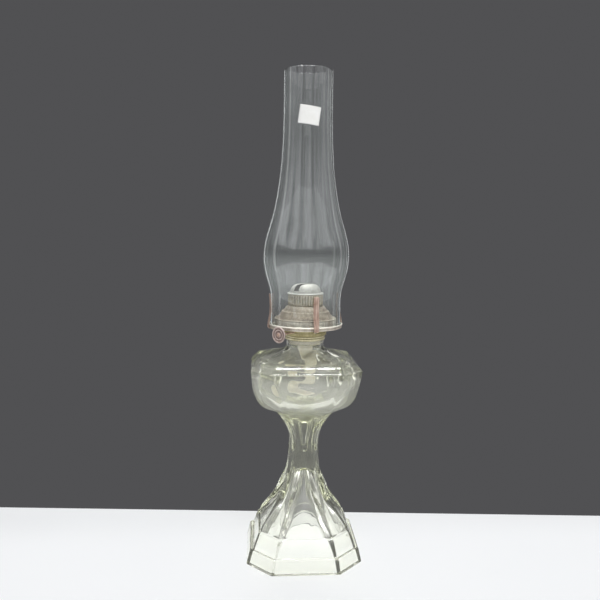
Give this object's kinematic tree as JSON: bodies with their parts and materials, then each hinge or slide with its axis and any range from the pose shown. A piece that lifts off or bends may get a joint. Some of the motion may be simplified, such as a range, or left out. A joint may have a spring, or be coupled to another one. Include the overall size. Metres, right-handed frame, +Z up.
{
  "type": "kerosene table lamp",
  "caption": "Panelled glass oil lamp on a flared hollow foot, with a flat-wick prong burner and a tall bulged glass chimney that lifts off.",
  "frame": {"origin": "centre of the foot's underside, on the surface that the lamp stands on", "axes": "+Z up along the lamp's axis; +X and +Y square to the foot's flat sides; the thumb wheel is towards -X -Y"},
  "size_m": [0.1252, 0.1252, 0.5255],
  "materials": {
    "stand_glass": "thick pressed glass, clear with a faint yellow-green tint, fire polished",
    "chimney_glass": "thin blown glass, clear, blue-green at its cut edges",
    "collar_brass": "dull olive-yellow sheet brass, worn",
    "cup_brass": "dull olive-yellow sheet brass, tarnished in the seams",
    "gallery_brass": "pale beige-grey tarnished sheet brass, rubbed bright on its edges",
    "copper": "pink-brown spring brass, tarnished",
    "cement": "dry plaster cement",
    "wick_cotton": "woven cotton, cream, browned at the burnt end",
    "label_paper": "blank matt paper sticker"
  },
  "bodies": {
    "stand": {"glass_stand": "stand_glass", "collar": "collar_brass", "collar_cement": "cement"},
    "burner": {"burner_cup": "cup_brass", "air_basket": "cup_brass", "draft_screen": "gallery_brass", "wick_tube": "cup_brass", "feed_case": "cup_brass", "shaft_sleeve": "cup_brass", "vent_tube": "cup_brass", "gallery": "gallery_brass", "prong_rivets": "gallery_brass", "wick_tail": "wick_cotton"},
    "feed": {"feed_shaft": "copper", "feed_wheels": "copper", "thumb_wheel": "copper"},
    "wick": {"wick": "wick_cotton"},
    "cone": {"cone_base": "gallery_brass", "cone_band": "gallery_brass", "cone_dome": "gallery_brass"},
    "chimney": {"chimney": "chimney_glass", "price_label": "label_paper"},
    "prong_1": {"prong_1": "copper"},
    "prong_2": {"prong_2": "copper"},
    "prong_3": {"prong_3": "copper"},
    "prong_4": {"prong_4": "copper"}
  },
  "joints": [
    {"name": "burner_unscrew", "type": "hinge", "parent": "stand", "child": "burner", "pos_m": [0, 0, 0.2469], "axis": [0, 0, 1], "range_deg": [0, 1080]},
    {"name": "wick_feed", "type": "hinge", "parent": "burner", "child": "feed", "pos_m": [0.00334, -0.00301, 0.25145], "axis": [0.6691, 0.7431, 0], "range_deg": [-76, 190]},
    {"name": "wick_slide", "type": "slide", "parent": "burner", "child": "wick", "axis": [0, 0, 1], "range_m": [-0.0042, 0.0105]},
    {"name": "cone_lift", "type": "slide", "parent": "burner", "child": "cone", "axis": [0, 0, 1], "range_m": [0, 0.05]},
    {"name": "chimney_lift", "type": "slide", "parent": "burner", "child": "chimney", "axis": [0, 0, 1], "range_m": [0, 0.06]},
    {"name": "prong_1_spring", "type": "hinge", "parent": "burner", "child": "prong_1", "pos_m": [0.00788, -0.03554, 0.25385], "axis": [0.9763, 0.2164, 0], "range_deg": [0, 6], "stiffness_Nm_per_rad": 0.02},
    {"name": "prong_2_spring", "type": "hinge", "parent": "burner", "child": "prong_2", "pos_m": [0.03554, 0.00788, 0.25385], "axis": [-0.2164, 0.9763, 0], "range_deg": [0, 6], "stiffness_Nm_per_rad": 0.02},
    {"name": "prong_3_spring", "type": "hinge", "parent": "burner", "child": "prong_3", "pos_m": [-0.00788, 0.03554, 0.25385], "axis": [-0.9763, -0.2164, 0], "range_deg": [0, 6], "stiffness_Nm_per_rad": 0.02},
    {"name": "prong_4_spring", "type": "hinge", "parent": "burner", "child": "prong_4", "pos_m": [-0.03554, -0.00788, 0.25385], "axis": [0.2164, -0.9763, 0], "range_deg": [0, 6], "stiffness_Nm_per_rad": 0.02}
  ],
  "couplings": [
    {"joint": "wick_slide", "follows": "wick_feed", "m_per_rad": 0.003}
  ]
}
